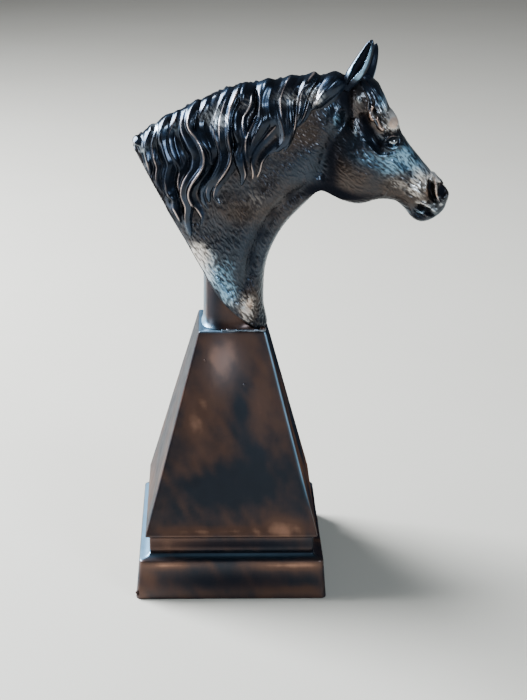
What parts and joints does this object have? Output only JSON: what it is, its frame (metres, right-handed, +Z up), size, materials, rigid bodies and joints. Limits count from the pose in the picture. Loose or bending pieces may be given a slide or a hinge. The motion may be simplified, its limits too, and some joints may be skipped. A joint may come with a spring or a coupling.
{
  "type": "horse-head statuette",
  "caption": "Hollow cast horse's head and neck on a smooth column, standing on a truncated square pyramid with a recessed band and a low square plinth.",
  "frame": {"origin": "centre of the flat underside it stands on", "axes": "+Z up, +X towards the horse's nose, the mane's long locks hang on the -Y side"},
  "size_m": [0.1455, 0.09, 0.2576],
  "materials": {
    "bronze_patina": "blue-black and brown patina under clear lacquer, rubbed to copper on raised edges",
    "brass": "turned",
    "steel": "zinc plated",
    "hardboard": "raw",
    "felt": "baize"
  },
  "bodies": {
    "root": {"plinth_shell": "bronze_patina", "recessed_band": "bronze_patina", "pyramid_shell": "bronze_patina", "neck_column": "bronze_patina", "bust_right_half": "bronze_patina", "bust_left_half": "bronze_patina", "ear_right": "bronze_patina", "ear_left": "bronze_patina", "column_insert": "brass", "tie_rod": "steel", "tie_washer": "steel", "tie_nut": "steel", "board_screws": "steel", "locating_pins": "steel", "base_board": "hardboard", "felt_pad": "felt"}
  },
  "joints": []
}
